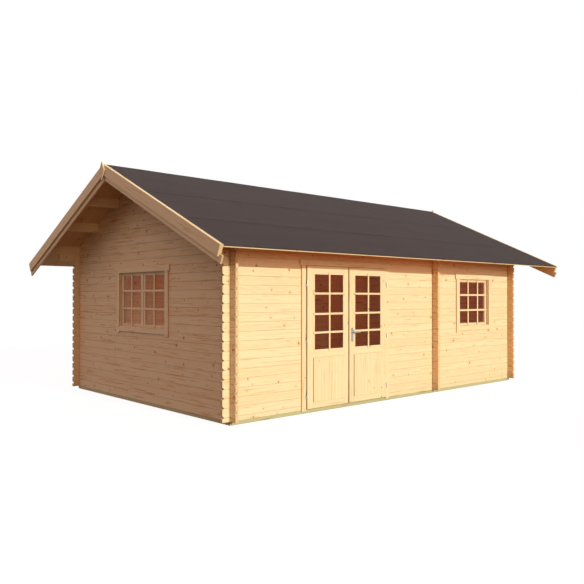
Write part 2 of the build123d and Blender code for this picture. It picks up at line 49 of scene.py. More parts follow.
def node(tree, kind, feeds=(), **settings):
    """Adds a shader node. feeds pairs each socket with a value or with another node's output."""
    made = tree.nodes.new("ShaderNode" + kind)
    for name, setting in settings.items():
        setattr(made, name, setting)
    for socket, feed in dict(feeds).items():
        if isinstance(feed, bpy.types.NodeSocket):
            tree.links.new(feed, made.inputs[socket])
        else:
            made.inputs[socket].default_value = feed
    return made


def maths(tree, operation, *values):
    """Output of one Math node."""
    return node(tree, "Math", enumerate(values), operation=operation).outputs[0]


def eased(tree, value, low, high, start=0.0, end=1.0):
    """A value's smooth step from start, at low, to end, at high."""
    steps = {0: value, 1: low, 2: high, 3: start, 4: end}
    return node(tree, "MapRange", steps, interpolation_type="SMOOTHSTEP").outputs[0]


def tinted(tree, share, first, second):
    """First colour turned into the second by a share."""
    feeds = {0: share, 6: first, 7: second}
    return node(tree, "Mix", feeds, data_type="RGBA", blend_type="MIX").outputs[2]


def dot(tree, vector, direction):
    """How far a vector reaches in a direction: their dot product."""
    feeds = {0: vector, 1: direction}
    return node(tree, "VectorMath", feeds, operation="DOT_PRODUCT").outputs["Value"]


def scaled(tree, vector, factors):
    """A vector with each of its parts multiplied by its own factor."""
    return node(tree, "VectorMath", {0: vector, 1: factors}, operation="MULTIPLY").outputs[0]


def noise(tree, where, detail, roughness=0.5, scale=1.0):
    """Noise of several octaves; each octave has roughness times the height of the last one."""
    feeds = {"Vector": where, "Scale": scale, "Detail": detail, "Roughness": roughness}
    return node(tree, "TexNoise", feeds).outputs[0]


def fresh(name):
    """New material with its node tree."""
    material = bpy.data.materials.new(name)
    material.use_nodes = True
    return material, material.node_tree


def laid(along, across, through, pitch, first, counted=1):
    """Place of a point in its own timber: dot products of its place in the cabin with the timber's
    three directions. The counted one is measured from the middle of its course, and the number of
    whole pitches from first names the course. Endwise is 1 where the surface faces along."""
    def place(tree):
        here = node(tree, "TexCoord").outputs
        spans = [dot(tree, here["Object"], direction) for direction in (along, across, through)]
        steps = maths(tree, "DIVIDE", maths(tree, "SUBTRACT", spans[counted], first), pitch)
        course = maths(tree, "FLOOR", steps)
        part = maths(tree, "SUBTRACT", maths(tree, "SUBTRACT", steps, course), 0.5)
        spans[counted] = maths(tree, "MULTIPLY", part, pitch)
        facing = maths(tree, "ABSOLUTE", dot(tree, here["Normal"], along))
        return *spans, course, eased(tree, facing, 0.75, 0.95)
    return place


def knots(tree, along, across, board, width, share, gap):
    """Knots strewn along a timber: a point falls in each stretch about a gap long, and a share of
    the points are knots, of chance height and radius. Reach is the distance from the knot over its
    radius. Gives how far a place lies in the knot and in its rim, and how the rings swell there."""
    least_radius, spare_radius, room = 0.0055, 0.011, 0.8
    stretch = maths(tree, "MULTIPLY_ADD", along, 1 / gap, maths(tree, "MULTIPLY", board, 17.37))
    feeds = {"W": stretch, "Scale": 1.0}
    spot = node(tree, "TexVoronoi", feeds, voronoi_dimensions="1D").outputs
    luck = node(tree, "SeparateColor", {0: spot["Color"]}).outputs
    squared = maths(tree, "POWER", luck[1], 2.0)
    radius = maths(tree, "MULTIPLY_ADD", squared, spare_radius, least_radius)
    beside = maths(tree, "MULTIPLY", maths(tree, "SUBTRACT", stretch, spot["W"]), gap)
    height = maths(tree, "SUBTRACT", luck[0], 0.5)
    above = maths(tree, "MULTIPLY_ADD", height, -room * width, across)
    reach = maths(tree, "MULTIPLY_ADD", above, above, maths(tree, "MULTIPLY", beside, beside))
    reach = maths(tree, "DIVIDE", maths(tree, "SQRT", reach), radius)
    there = maths(tree, "LESS_THAN", luck[2], share)
    core = maths(tree, "MULTIPLY", there, eased(tree, reach, 0.8, 1.1, 1.0, 0.0))
    rim = maths(tree, "MULTIPLY", eased(tree, reach, 0.6, 0.95), core)
    fading = maths(tree, "MULTIPLY", maths(tree, "MULTIPLY", reach, reach), -0.12)
    swell = maths(tree, "MULTIPLY", maths(tree, "EXPONENT", fading), there)
    return core, rim, swell


def from_pith(tree, along, across, through, board, lot, swell):
    """Distance from the pith, a line beside the middle of the timber that wanders by slow noise; a
    chance part of its offset is the timber's own. The swell round knots adds to the distance."""
    wander, offset, least_depth, spare_depth, bulge = 0.12, 0.06, 0.012, 0.035, 0.006
    slow = maths(tree, "MULTIPLY_ADD", along, 0.55, maths(tree, "MULTIPLY", board, 9.13))
    feeds = {"W": slow, "Scale": 1.0, "Detail": 2.0}
    slow = node(tree, "TexNoise", feeds, noise_dimensions="1D").outputs[0]
    drift = maths(tree, "MULTIPLY", maths(tree, "SUBTRACT", slow, 0.5), wander)
    drift = maths(tree, "MULTIPLY_ADD", maths(tree, "SUBTRACT", lot[0], 0.5), offset, drift)
    aside = maths(tree, "SUBTRACT", across, drift)
    depth = maths(tree, "MULTIPLY_ADD", lot[1], spare_depth, least_depth)
    depth = maths(tree, "SUBTRACT", through, depth)
    reach = maths(tree, "MULTIPLY_ADD", depth, depth, maths(tree, "MULTIPLY", aside, aside))
    return maths(tree, "MULTIPLY_ADD", swell, bulge, maths(tree, "SQRT", reach))


def finish(tree, colour, rough, gloss, height, strength, depth):
    """Colour, roughness, gloss and relief of a surface; depth is the relief's full height."""
    surface = tree.nodes["Principled BSDF"]
    tree.links.new(colour, surface.inputs["Base Color"])
    surface.inputs["Roughness"].default_value = rough
    surface.inputs["Specular IOR Level"].default_value = gloss
    bump = node(tree, "Bump", {"Strength": strength, "Distance": depth, "Height": height})
    tree.links.new(bump.outputs[0], surface.inputs["Normal"])


ring_width, ring_waver, shade_reach = 0.0042, 0.010, 0.022
knot_heart, knot_rim = (0.42, 0.16, 0.050, 1), (0.21, 0.066, 0.020, 1)
sawn_pale, sawn_dark = (0.80, 0.50, 0.24, 1), (0.55, 0.27, 0.10, 1)
joint_shade_brown, painted_shade_brown = (0.36, 0.15, 0.047, 1), (0.34, 0.145, 0.05, 1)


def wood(name, place, width, pale, warm, share=0.5, gap=0.45, seam=0.0, rough=0.6, streaks=0.75):
    """Planed spruce. Rings are equal steps of the distance from the pith, each one warmer late in
    its growth. Resin streaks are noise drawn out along the grain, gathered in patches; fibres are
    finer noise drawn out the same way. A seam paints shade along the edges where courses meet, and
    ambient occlusion paints brown shade into corners where timbers meet."""
    material, tree = fresh(name)
    along, across, through, board, endwise = place(tree)
    lot = node(tree, "TexWhiteNoise", {"W": board}, noise_dimensions="1D").outputs["Color"]
    lot = node(tree, "SeparateColor", {0: lot}).outputs
    core, rim, swell = knots(tree, along, across, board, width, share, gap)
    growth = from_pith(tree, along, across, through, board, lot, swell)

    drawn = node(tree, "CombineXYZ", {
        0: maths(tree, "MULTIPLY_ADD", along, 2.2, maths(tree, "MULTIPLY", board, 5.71)),
        1: maths(tree, "MULTIPLY_ADD", across, 38.0, maths(tree, "MULTIPLY", board, 2.3)),
        2: maths(tree, "MULTIPLY", through, 26.0),
    }).outputs[0]
    streak = noise(tree, drawn, 5.0, 0.6)
    fibre = noise(tree, scaled(tree, drawn, (4.5, 18.0, 26.0)), 3.0)
    patch = noise(tree, scaled(tree, drawn, (0.55, 0.30, 0.3)), 1.0)

    waver = maths(tree, "MULTIPLY_ADD", streak, ring_waver, growth)
    ring = maths(tree, "FRACT", maths(tree, "DIVIDE", waver, ring_width))
    late_end = eased(tree, ring, 0.92, 1.0, 1.0, 0.0)
    late = maths(tree, "MULTIPLY", eased(tree, ring, 0.35, 0.9), late_end)
    resin = eased(tree, streak, 0.54, 0.66, 0.0, streaks)
    warmth = maths(tree, "MULTIPLY", resin, eased(tree, patch, 0.42, 0.58, 0.3, 1.1))
    fibre_shade = maths(tree, "SUBTRACT", fibre, 0.5)
    for part, weight in ((late, 0.24), (lot[2], 0.15), (swell, 0.30), (fibre_shade, 0.48)):
        warmth = maths(tree, "MULTIPLY_ADD", part, weight, warmth)
    warmth = maths(tree, "MAXIMUM", maths(tree, "MINIMUM", warmth, 1.0), 0.0)

    colour = tinted(tree, warmth, (*pale, 1), (*warm, 1))
    colour = tinted(tree, core, colour, tinted(tree, rim, knot_heart, knot_rim))
    sawn = tinted(tree, late, sawn_pale, sawn_dark)
    colour = tinted(tree, maths(tree, "MULTIPLY", endwise, 0.8), colour, sawn)
    # Painted shade: the edges where courses meet are darkened, as shade in the grooves between
    # logs.
    if seam:
        wide_joint, tight_joint = 0.004, 0.0012
        off_middle = maths(tree, "ABSOLUTE", across)
        edge = eased(tree, off_middle, width / 2 - wide_joint, width / 2 - tight_joint)
        patchy = eased(tree, streak, 0.35, 0.65, 0.5 * seam, seam)
        colour = tinted(tree, maths(tree, "MULTIPLY", edge, patchy), colour, joint_shade_brown)
    # Painted shade: ambient occlusion darkens corners and crevices towards brown.
    corner = node(tree, "AmbientOcclusion", {"Distance": shade_reach}, samples=6).outputs["AO"]
    colour = tinted(tree, eased(tree, corner, 0.35, 0.9, 0.5, 0.0), colour, painted_shade_brown)
    relief = maths(tree, "MULTIPLY_ADD", late, -0.35, fibre)
    relief = maths(tree, "MULTIPLY_ADD", core, -0.4, relief)
    finish(tree, colour, rough, 0.25, relief, 0.25, 0.0006)
    return material


def dress(material, *names):
    """Gives CAD nodes a material."""
    for name in names:
        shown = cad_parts[name]
        if not shown.material_slots:
            shown.data.materials.append(material)
        for place in shown.material_slots:
            place.material = material


bearer_height = 0.045
treated_pale, treated_dark = (0.56, 0.45, 0.215), (0.35, 0.28, 0.11)
lengthwise, crosswise, upwards = (1, 0, 0), (0, 1, 0), (0, 0, 1)
for name, along, through, pitch, first, bearers in (
    ("treated sills", lengthwise, crosswise, 3.0, -3.0, "long_bearers"),
    ("treated cross sills", crosswise, lengthwise, 2.0, -4.2, "cross_bearers"),
):
    place = laid(along, upwards, through, pitch, first, 2)
    dress(wood(name, place, bearer_height, treated_pale, treated_dark, share=0.3), bearers)


# ---------------------------------------------------------------------------
# Log walls. Spruce logs, 44 x 114 mm, stacked on edge and crossed at the corners, so the courses of
# the gables and the partition lie half a log from those of the long walls. Left untreated.

log_height = 0.114
pale_spruce, warm_spruce = (0.88, 0.645, 0.36), (0.67, 0.42, 0.165)
resinous_spruce = (0.72, 0.380, 0.145)
long_joint, cross_joint = 0.102 - log_height, 0.045


def long_wall(name, skipped, *nodes):
    """Wall of logs along the cabin, of the cleaner lot. Its courses are numbered from a joint so
    many logs below the first one, so that no two walls share a log's grain."""
    place = laid(lengthwise, upwards, crosswise, log_height, long_joint - skipped * log_height)
    logs = wood(name, place, log_height, pale_spruce, warm_spruce, seam=0.38, streaks=0.55)
    dress(logs, *nodes)


def cross_wall(name, skipped, *nodes):
    """Wall of logs across the cabin, of a lot with more resin streaks, and more painted shade in
    its joints.
    """
    place = laid(crosswise, upwards, lengthwise, log_height, cross_joint - skipped * log_height)
    logs = wood(name, place, log_height, pale_spruce, resinous_spruce, seam=0.75, streaks=1.35)
    dress(logs, *nodes)


long_wall("front logs", 0, "front_wall_left", "front_wall_over_door")
long_wall("front logs right", 20, "front_wall_right")
long_wall("back logs", 60, "back_wall")
cross_wall("left gable logs", 100, "left_gable_wall")
cross_wall("right gable logs", 140, "right_gable_wall")
cross_wall("partition logs", 180, "partition_front", "partition_over_doorway", "partition_back")


# ---------------------------------------------------------------------------
# Floor. Planed spruce boards, 19 mm, run the length of each room from bearer to bearer and are
# nailed there. The row beside the front wall is cut back round the door frame.

draw = np.random.default_rng(41)
grain_reach, grain_lots = 20, 900


def carried(rings):
    """Skin of closed sections carried along a path. rings is stations x points x 3: neighbours are
    joined by quads, and each end is closed by quads from one half of its section to the other."""
    stations, points = rings.shape[:2]
    start = np.arange(stations - 1)[:, None] * points
    near = np.arange(points)
    far = (near + 1) % points
    sides = np.stack([start + near, start + far, start + points + far, start + points + near], -1)
    half = np.arange(points // 2 - 1)
    cap = np.stack([half, points - 1 - half, points - 2 - half, half + 1], -1)
    faces = np.vstack([sides.reshape(-1, 4), cap, cap[:, ::-1] + (stations - 1) * points])
    return rings.reshape(-1, 3), faces


def planks(middle, size, axes, easing=0.002, plumb=0.0):
    """Boards with eased edges. A rectangle with a quarter round of three points at each corner is
    carried along the board through four stations; the two end ones shrink by most of the easing.
    plumb moves the first end along by that much of the height above the underside. Each board has
    its grain from a chance stretch of a chance lot."""
    middle = np.atleast_2d(middle)
    count = len(middle)
    size = np.broadcast_to(size, (count, 3))
    axes = np.broadcast_to(axes, (count, 3, 3))
    quarter = np.repeat(np.radians([45, 135, 225, 315]), 3)
    turn = quarter + np.tile(np.radians([-45, 0, 45]), 4)
    corner = np.sign(np.stack([np.cos(quarter), np.sin(quarter)], -1))
    bulge = np.stack([np.cos(turn), np.sin(turn)], -1)
    keep = np.array([0.3, 1.0, 1.0, 0.3])[:, None, None]
    section = corner * (size[:, None, None, 1:] / 2 - easing) + easing * keep * bulge
    run = size[:, :1] * np.array([-0.5, -0.5, 0.5, 0.5]) + easing * np.array([0, 0.7, -0.7, 0])
    height = section[..., 1] + size[:, 2, None, None] / 2
    run = run[:, :, None] + plumb * height * np.array([1, 1, 0, 0])[:, None]
    local = np.concatenate([run[..., None], section], -1)
    points = middle[:, None, None] + local @ axes[:, None]
    each = len(keep) * len(turn)
    faces = carried(points[0])[1] + each * np.arange(count)[:, None, None]
    shift = draw.uniform(-grain_reach, grain_reach, count)[:, None, None, None]
    grain = local + shift * np.array([1, 0, 0])
    board = np.repeat(draw.integers(0, grain_lots, count), each)
    return points.reshape(-1, 3), faces.reshape(-1, 4), grain.reshape(-1, 3), board


def piece(name, shapes, material, body="cabin", stands_for=(), smooth=False):
    """One mesh of several shapes, each of them points, faces, grain places and board numbers."""
    before = np.cumsum([0] + [len(shape[0]) for shape in shapes[:-1]])
    mesh = bpy.data.meshes.new(name)
    faces = np.vstack([shape[1] + first for shape, first in zip(shapes, before)])
    mesh.from_pydata(np.vstack([shape[0] for shape in shapes]), [], faces.tolist())
    grain = mesh.attributes.new("grain", "FLOAT_VECTOR", "POINT")
    grain.data.foreach_set("vector", np.vstack([shape[2] for shape in shapes]).ravel())
    board = mesh.attributes.new("board", "FLOAT", "POINT")
    board.data.foreach_set("value", np.hstack([shape[3] for shape in shapes]).astype(float))
    mesh.materials.append(material)
    if smooth:
        mesh.shade_smooth()
    made = bpy.data.objects.new(name, mesh)
    bpy.context.scene.collection.objects.link(made)
    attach(made, body)
    if stands_for:
        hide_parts(*stands_for)


def in_board(tree):
    """Place of a point in its own board, from what the mesh carries."""
    grain = node(tree, "Attribute", attribute_name="grain").outputs["Vector"]
    board = node(tree, "Attribute", attribute_name="board").outputs["Fac"]
    return *node(tree, "SeparateXYZ", {0: grain}).outputs, board, 0.0


def straight(name):
    """Lowest and highest corner of a CAD node, as arrays."""
    return [np.array(corner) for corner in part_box(name)]


along_x = np.eye(3)
row_count, floor_easing, fitting_gap = 42, 0.0012, 0.006
floor_pale, floor_warm = (0.86, 0.62, 0.34), (0.70, 0.34, 0.12)
floor_low, floor_high = straight("floor")
partition_low, partition_high = straight("partition_front")
frame_low, frame_high = straight("door_frame")
floor_finish = wood("floor boards", in_board, 0.1, floor_pale, floor_warm, share=0.35, gap=0.6)
floor_edges = np.linspace(floor_low[1], floor_high[1], row_count + 1)
floor_rows = (floor_edges[1:] + floor_edges[:-1]) / 2
row_width = floor_edges[1] - floor_edges[0]
floor_level = (floor_low[2] + floor_high[2]) / 2
floor_thick = floor_high[2] - floor_low[2]
door_room = (floor_low[0], partition_low[0] - fitting_gap)
side_room = (partition_high[0] + fitting_gap, floor_high[0])
floor_boards = []
for room, rows in ((door_room, floor_rows[1:]), (side_room, floor_rows)):
    centre = np.full((len(rows), 3), (sum(room) / 2, 0, floor_level))
    centre[:, 1] = rows
    size = (room[1] - room[0], row_width, floor_thick)
    floor_boards.append(planks(centre, size, along_x, floor_easing))

# The first row of the door's room lies in three lengths, each given by its left end, its front
# edge and its right end.
cut = np.array([
    (door_room[0], floor_low[1], frame_low[0] - fitting_gap),
    (frame_low[0] - fitting_gap, frame_high[1] + fitting_gap, frame_high[0] + fitting_gap),
    (frame_high[0] + fitting_gap, floor_low[1], door_room[1]),
])
row_back = floor_edges[1]
cut_middle = (cut[:, [0, 2]].mean(1), (cut[:, 1] + row_back) / 2, np.full(3, floor_level))
cut_size = (cut[:, 2] - cut[:, 0], row_back - cut[:, 1], np.full(3, floor_thick))
floor_boards.append(planks(np.stack(cut_middle, -1), np.stack(cut_size, -1), along_x, floor_easing))
piece("floor_boards", floor_boards, floor_finish, stands_for=["floor"])


# ---------------------------------------------------------------------------
# Roof boards on purlins. Five purlins cross the gables and the partition; planed boards, 19 mm,
# run down each slope from the ridge, tongued together, with a V at each joint on the underside.

purlin_spacing, purlin_height = 0.711, 0.145
place = laid(lengthwise, upwards, crosswise, purlin_spacing, -purlin_spacing / 2, 2)
dress(wood("purlins", place, purlin_height, pale_spruce, warm_spruce), "purlins")

slopes = ((-1, "front"), (1, "back"))
pitch = math.radians(24.7)
fall, level = math.sin(pitch), math.cos(pitch)
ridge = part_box("purlins")[1].z
roof_low, roof_high = straight("front_roof_boards")
board_count, board_thick, board_easing = 79, 0.019, 0.0022
board_run = (abs(roof_low[1]) - board_thick * fall) / level
# Painted shade: the roof boards take a darker, more orange copy of the spruce, like undersides in
# shade.
shaded_roof_pale, shaded_roof_warm = (0.76, 0.43, 0.17), (0.58, 0.25, 0.075)
roof_finish = wood("roof boards", in_board, 0.095, shaded_roof_pale, shaded_roof_warm, share=0.4, gap=0.6)


def slope_axes(side):
    """Directions down a slope, across it and square to it; side is -1 in front, 1 at the back."""
    return np.array([(0, side * level, -fall), (-side, 0, 0), (0, side * fall, level)])


def on_slope(side, down, above, x=0.0):
    """Point on a slope: so far down from the ridge, so far above the boards' underside."""
    down, above, x = np.broadcast_arrays(down, above, x)
    axes = slope_axes(side)
    point = np.array([0, 0, ridge]) + down[..., None] * axes[0] + above[..., None] * axes[2]
    return point + x[..., None] * along_x[0]


edges = np.linspace(roof_low[0], roof_high[0], board_count + 1)
for side, name in slopes:
    middle = on_slope(side, board_run / 2, board_thick / 2, (edges[1:] + edges[:-1]) / 2)
    size = (board_run, edges[1] - edges[0], board_thick)
    boards = [planks(middle, size, slope_axes(side), board_easing, -fall / level)]
    node_name = f"{name}_roof_boards"
    piece(f"{name}_slope_boards", boards, roof_finish, stands_for=[node_name])


# ---------------------------------------------------------------------------
# Verge. A lath on the ends of the roof boards with a narrower board below it, and a barge board
# outside them, mitred at the ridge, where a diamond board covers the joint. Planed spruce, all
# screwed on.

# Courses this long meet at the middle of the cabin, so each end's boards have their own grain.
course = 5.0
for side, name in slopes:
    down, _, square = slope_axes(side)
    for kind, width, skipped in (
        ("verge_laths", 0.11, 0),
        ("lower_verge_boards", 0.095, 20),
        ("barge_boards", 0.14, 40),
    ):
        first = -course - course * (skipped + side)
        place = laid(tuple(down), tuple(square), lengthwise, course, first, 2)
        boards = wood(
            f"{name} {kind}", place, width, pale_spruce, warm_spruce, share=0.45, gap=0.55
        )
        dress(boards, f"{name}_{kind}")


def diamond(low, high, easing):
    """Board sawn to a diamond. Its outline, four sides with each corner eased by three points, is
    carried through the board's thickness at four stations; the end ones shrink by the easing."""
    centre = (low + high) / 2
    half = (high - low) / 2
    tips = np.array([(0, half[2]), (-half[1], 0), (0, -half[2]), (half[1], 0)])
    before, after = np.roll(tips, 1, 0), np.roll(tips, -1, 0)
    near = tips + easing * (before - tips) / np.linalg.norm(before - tips, axis=1, keepdims=True)
    far = tips + easing * (after - tips) / np.linalg.norm(after - tips, axis=1, keepdims=True)
    outline = np.stack([near, (2 * tips + near + far) / 4, far], 1).reshape(-1, 2)
    reach = np.linalg.norm(outline, axis=1, keepdims=True)
    stations = np.array([-1, -1, 1, 1]) * half[0] + np.array([0, 1, -1, 0]) * easing
    shrink = np.array([1, 0, 0, 1])[:, None, None] * easing * 0.8
    yz = outline * (1 - shrink / reach)
    x = np.broadcast_to(stations[:, None, None], (*yz.shape[:2], 1))
    points, faces = carried(np.concatenate([x, yz], -1) + centre)
    board = np.full(len(points), float(draw.integers(0, grain_lots)))
    return points, faces, (points - centre)[:, [2, 1, 0]], board


diamond_thick, diamond_easing = 0.020, 0.002
diamond_low, diamond_high = straight("ridge_diamonds")
left_face, right_face = diamond_low[0] + diamond_thick, diamond_high[0] - diamond_thick
diamonds = [
    diamond(diamond_low, np.array([left_face, *diamond_high[1:]]), diamond_easing),
    diamond(np.array([right_face, *diamond_low[1:]]), diamond_high, diamond_easing),
]
diamond_finish = wood(
    "ridge diamonds", in_board, 0.15, pale_spruce, warm_spruce, share=0.4, gap=0.5
)
node_name = "ridge_diamonds"
piece("ridge_diamond_boards", diamonds, diamond_finish, stands_for=[node_name])


# ---------------------------------------------------------------------------
# Roof felt. Three strips lie along each slope, each lapped over the one below, and the top strip
# goes over the ridge. Bitumen felt, about 2 mm, with brown grey slate grit, nailed under the laps.

bitumen, slate_grain = (0.028, 0.0184, 0.0165, 1), (0.057, 0.0368, 0.0333, 1)
pale_speck, worn_patch = (0.0625, 0.0395, 0.0350, 1), (0.0345, 0.0225, 0.021, 1)


def felt_grit():
    """Grit of several sizes: dark bitumen with lighter grains, which are cells of chance shade,
    specks of rough noise, and slow patches of noise drawn out along the strips."""
    material, tree = fresh("slate grit felt")
    here = node(tree, "TexCoord").outputs["Object"]
    grains = node(tree, "TexVoronoi", {"Vector": here, "Scale": 620.0}).outputs
    shade = node(tree, "SeparateColor", {0: grains["Color"]}).outputs[0]
    patch = noise(tree, scaled(tree, here, (0.7, 2.2, 2.2)), 4.0, 0.6, 1.6)
    speck = noise(tree, here, 4.0, 0.7, 95.0)
    colour = tinted(tree, shade, bitumen, slate_grain)
    colour = tinted(tree, eased(tree, speck, 0.35, 0.7, 0.0, 0.55), colour, pale_speck)
    colour = tinted(tree, eased(tree, patch, 0.4, 0.7, 0.0, 0.35), colour, worn_patch)
    relief = maths(tree, "MULTIPLY_ADD", speck, 0.6, grains["Distance"])
    finish(tree, colour, 0.9, 0.2, relief, 0.5, 0.001)
    return material


felt_thick, lap_rise, lap_ramp, bend_radius = 0.0023, 0.0027, 0.04, 0.002
felt_gap, wave, crown_rise, crown_reach = 0.0002, 0.0005, 0.0012, 0.06
lines_down, lines_along, lap_lines = 44, 121, np.linspace(-0.05, 0.03, 9)


def felt_strip(start, stop, laps):
    """Strip of felt from start to stop, down the slope (below 0 it is the front slope). Its sheet
    rises by its own thickness where it laps onto the strip below, and swells gently in waves along
    the roof. Its lines of points lie closer at the laps and at the ridge, where it bends."""
    down = np.linspace(start, stop, lines_down)
    for place in (0.0, *laps):
        down = np.union1d(down, place + lap_lines)
    down = down[(down >= start) & (down <= stop)]
    x = np.linspace(roof_low[0], roof_high[0], lines_along)[:, None]
    lift = np.zeros_like(down)
    for lap in laps:
        past = (np.abs(down) - abs(lap)) * (np.sign(down) == np.sign(lap))
        ramp = np.clip((past + lap_ramp) / lap_ramp, 0, 1)
        lift += lap_rise * ramp ** 2 * (past > -lap_ramp)
    swell = wave * (2 + np.sin(3.1 * x + 1.7 * down) + np.sin(7.7 * x - 2.9 * down + 1.3))
    crown = crown_rise * np.exp(-(down / crown_reach) ** 2)
    under = board_thick + felt_gap + np.minimum(lift, lap_rise) + crown + swell
    y = np.broadcast_to(down * level, under.shape)
    profile = ridge - fall / level * np.sqrt(y**2 + bend_radius**2)
    sheets = []
    for thick in (0.0, felt_thick):
        z = profile + (under + thick) / level
        sheets.append(np.stack([np.broadcast_to(x, z.shape), y, z], -1))
    rings = np.concatenate([sheets[0], sheets[1][:, ::-1]], 1)
    points, faces = carried(rings)
    return points, faces, points, np.zeros(len(points))


def eave_axes(side):
    """Directions along the eave, square to the slope, and square to both."""
    square = slope_axes(side)[2]
    return np.array([along_x[0], square, np.cross(along_x[0], square)])


top_lap, low_lap, overlap = 1.195, 2.185, 0.09
fold, fold_thick, fold_out, fold_easing = 0.0075, 0.0022, 0.0168, 0.0008
end_gap = 0.0012
felt_end = (abs(straight("front_roof_felt")[0][1]) - end_gap) / level
grit = felt_grit()
for side, name in slopes:
    strips = []
    for start, stop, laps in (
        (top_lap - overlap, low_lap, [low_lap - overlap]),
        (low_lap - overlap, felt_end, []),
    ):
        ends = sorted((side * start, side * stop))
        strips.append(felt_strip(*ends, [side * lap for lap in laps]))
    middle = on_slope(side, board_run + fold_out, board_thick - fold / 2)
    size = (roof_high[0] - roof_low[0], fold, fold_thick)
    strips.append(planks(middle, size, eave_axes(side), fold_easing))
    piece(f"{name}_felt_strips", strips, grit, stands_for=[f"{name}_roof_felt"])
lap = top_lap - overlap
piece("ridge_felt_strip", [felt_strip(-top_lap, top_lap, [-lap, lap])], grit)


# ---------------------------------------------------------------------------
# Eave strips. A planed spruce batten nailed to the ends of the roof boards, in two lengths that
# butt. The felt is turned down over its upper part.

eave_low, eave_high = straight("eave_strips")
strip_height, strip_thick, strip_easing, butt_gap = 0.022, 0.0155, 0.0018, 0.0006
strip_finish = wood(
    "eave strips", in_board, strip_height, pale_spruce, warm_spruce, share=0.25, gap=0.7
)
battens = []
for side, joint in ((-1, -3.596), (1, 2.41)):
    ends = np.array([eave_low[0], joint, eave_high[0]])
    x = (ends[1:] + ends[:-1]) / 2
    middle = on_slope(side, board_run + strip_thick / 2, board_thick - strip_height / 2, x)
    size = (np.diff(ends) - butt_gap, np.full(2, strip_height), np.full(2, strip_thick))
    battens.append(planks(middle, np.stack(size, -1), eave_axes(side), strip_easing))
piece("eave_battens", battens, strip_finish, stands_for=["eave_strips"])


# ---------------------------------------------------------------------------
# Door frame and casing. A frame of 52 mm jambs in the sawn opening, a threshold between them, and
# casing boards screwed over the log ends, the top one with an ear at each end. Planed spruce.

front = np.array([(1, 0, 0), (0, 0, 1), (0, -1, 0)])
left_gable = np.array([(0, -1, 0), (0, 0, 1), (-1, 0, 0)])
joinery_pale, joinery_warm = (0.88, 0.64, 0.355), (0.69, 0.44, 0.175)
joinery = wood(
    "planed joinery", in_board, 0.08, joinery_pale, joinery_warm, share=0.3, gap=0.5, rough=0.5
)


def members(wall, corners, easing=0.002):
    """Boards set out in a wall's own directions (right, up, outward) from pairs of corners: from
    right, to right, from up, to up, from out, to out. The grain follows the longer side in the
    wall's face."""
    corners = np.array(corners, float)
    low, high = corners[:, 0::2], corners[:, 1::2]
    middle = (low + high) / 2 @ wall
    size = high - low
    upright = (size[:, 1] > size[:, 0])[:, None, None]
    axes = np.where(upright, np.array([wall[1], -wall[0], wall[2]]), wall)
    size = np.where(upright[:, 0], size[:, [1, 0, 2]], size)
    return planks(middle, size, axes, easing)


def spread(wall, name):
    """Reach of a CAD node in a wall's directions, as the six numbers that members takes."""
    ends = np.array(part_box(name)) @ wall.T
    return np.stack([ends.min(0), ends.max(0)], -1).ravel()


jamb, threshold = 0.052, 0.030
left, right, bottom, top, back, face = spread(front, "door_frame")
frame_members = members(front, [
    (left, left + jamb, bottom, top - jamb, back, face),
    (right - jamb, right, bottom, top - jamb, back, face),
    (left, right, top - jamb, top, back, face),
    (left + jamb, right - jamb, bottom, bottom + threshold, back, face),
], easing=0.003)
piece("door_jambs", [frame_members], joinery, stands_for=["door_frame"])

casing_easing, ear = 0.0025, 0.030


def casing(wall, name, side, head, foot=0, tail=0):
    """Boards round an opening, and where their screws sit. The sides stop under the top board,
    whose ears run past them; a bottom board lies between them above their tails. The screws stand
    in even rows along the middle of each side board and of the top board."""
    left, right, bottom, top, back, face = spread(wall, name)
    left, right, top_foot = left + ear, right - ear, top - head
    boards = [
        (left - ear, right + ear, top_foot, top, back, face),
        (left, left + side, bottom, top_foot, back, face),
        (right - side, right, bottom, top_foot, back, face),
    ]
    if foot:
        boards.append((left + side, right - side, bottom + tail, bottom + tail + foot, back, face))
    tall_opening, from_end, from_side = 1.5, 0.07, 0.04
    rows = 4 if top - bottom > tall_opening else 3
    heights = np.linspace(bottom + from_end, top_foot - from_end, rows)
    screws = [(x, z, face) for x in (left + side / 2, right - side / 2) for z in heights]
    places = np.linspace(left + from_side, right - from_side, 4)
    screws += [(x, top - head / 2, face) for x in places]
    return boards, screws


door_boards, door_screws = casing(front, "door_casing", side=0.074, head=0.076)
door_boards = members(front, door_boards, casing_easing)
piece("door_casing_boards", [door_boards], joinery, stands_for=["door_casing"])


# ---------------------------------------------------------------------------
# Door leaves. Planed spruce stiles and rails, 40 mm thick, glazed above with one pane behind a
# wooden grid, and boarded below: nine tongued boards stand 14 mm out of the frame. The pane lies
# behind outer beads.

bar_easing, bead_easing, bedding, cross_drop = 0.0035, 0.0012, 0.0002, 0.0007


def grid(left, right, bottom, top, uprights, levels, back, face, bar):
    """Glazing bars. Uprights run the full height; the cross bars, a hair thinner, full width."""
    bars = [(x - bar / 2, x + bar / 2, bottom, top, back, face) for x in uprights]
    face = face - cross_drop
    return bars + [(left, right, z - bar / 2, z + bar / 2, back, face) for z in levels]


def beads(left, right, bottom, top, width, back, face):
    """Strips that hold a pane round the edge of its opening, the level ones between the others."""
    return [
        (left, left + width, bottom, top, back, face),
        (right - width, right, bottom, top, back, face),
        (left + width, right - width, bottom, bottom + width, back, face),
        (left + width, right - width, top - width, top, back, face),
    ]


